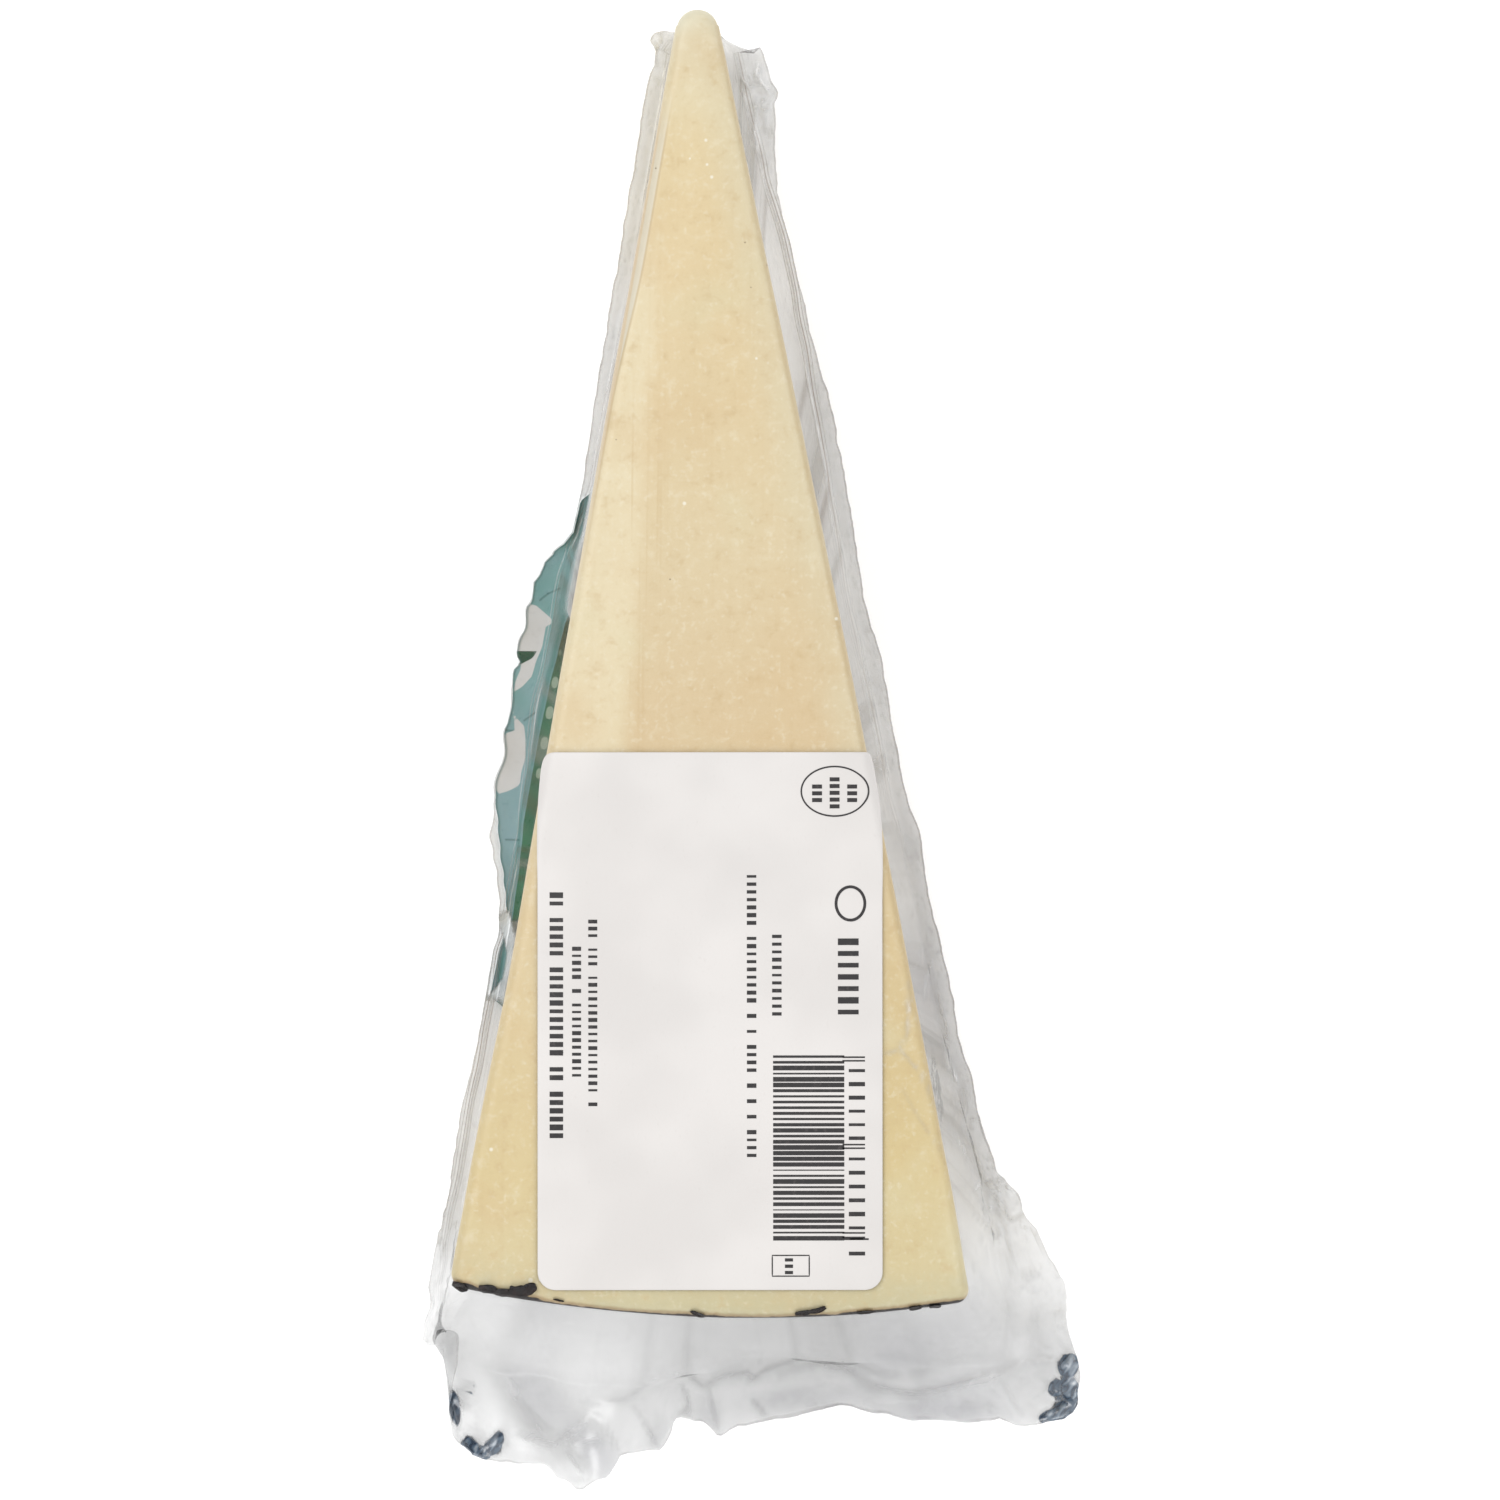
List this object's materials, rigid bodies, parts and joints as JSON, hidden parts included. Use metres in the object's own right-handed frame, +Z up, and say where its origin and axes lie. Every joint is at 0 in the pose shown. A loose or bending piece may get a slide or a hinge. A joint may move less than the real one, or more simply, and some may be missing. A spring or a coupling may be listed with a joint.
{
  "type": "vacuum-packed cheese wedge",
  "caption": "Long wedge of hard grating cheese, vacuum-packed in clear film with a crinkled skirt, a white label on its back and a green one under its front, lying flat.",
  "frame": {"origin": "on the surface that the pack rests on, midway between the wedge's thin end and the middle of its rind, on the wedge's line of symmetry", "axes": "+Y along the wedge to its thin end, +X to the right seen from above, +Z up through the pack's back, which carries the white label"},
  "size_m": [0.0764, 0.168, 0.0418],
  "materials": {
    "sealed_cheese": "pale straw-coloured cheese under tight clear film",
    "film": "clear soft plastic film, creased, glossy",
    "cheese": "pale straw-coloured hard cheese, wire-cut, with a thin dark rind",
    "white_label": "off-white coated paper with plain black print fields",
    "green_label": "green and grey-blue printed film label, satin"
  },
  "bodies": {
    "root": {"sealed_pack": "sealed_cheese", "back_label": "white_label", "front_label": "green_label"}
  },
  "joints": []
}
